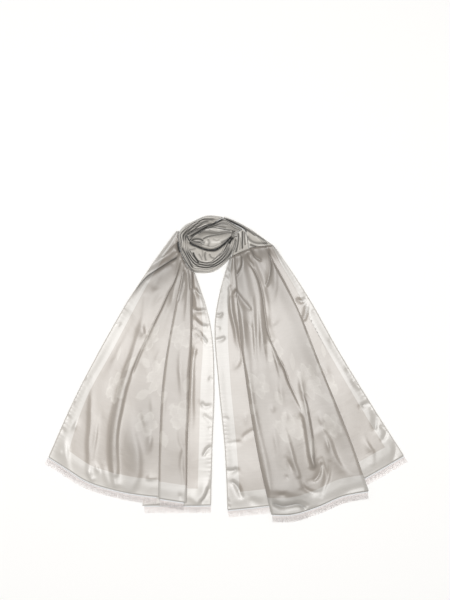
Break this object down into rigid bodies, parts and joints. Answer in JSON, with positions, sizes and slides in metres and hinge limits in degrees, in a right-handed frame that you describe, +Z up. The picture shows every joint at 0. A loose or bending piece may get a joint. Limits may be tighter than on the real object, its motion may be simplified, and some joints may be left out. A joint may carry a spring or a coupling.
{
  "type": "evening stole",
  "caption": "Wide satin stole laid flat, wound once at the neck, with pleated drops spread below it and a short eyelash fringe on both ends.",
  "frame": {"origin": "middle of the footprint, fringe included, on the surface that the stole lies on", "axes": "+X to the right and +Y from the hems to the neck for someone who looks down on it, +Z up from the surface"},
  "size_m": [0.9025, 0.7674, 0.0311],
  "materials": {
    "ivory_satin": "soft satin",
    "ivory_fringe": "matt thread"
  },
  "bodies": {
    "root": {"left_drop": "ivory_satin", "right_drop": "ivory_satin", "wrap_front": "ivory_satin", "wrap_inner": "ivory_satin", "wrap_back": "ivory_satin", "wrap_right": "ivory_satin", "wrap_tuck": "ivory_satin", "neck_layers": "ivory_satin", "left_fringe_outer": "ivory_fringe", "left_fringe_pleat": "ivory_fringe", "left_fringe_inner": "ivory_fringe", "right_fringe_inner": "ivory_fringe", "right_fringe_pleat": "ivory_fringe", "right_fringe_outer": "ivory_fringe"}
  },
  "joints": []
}
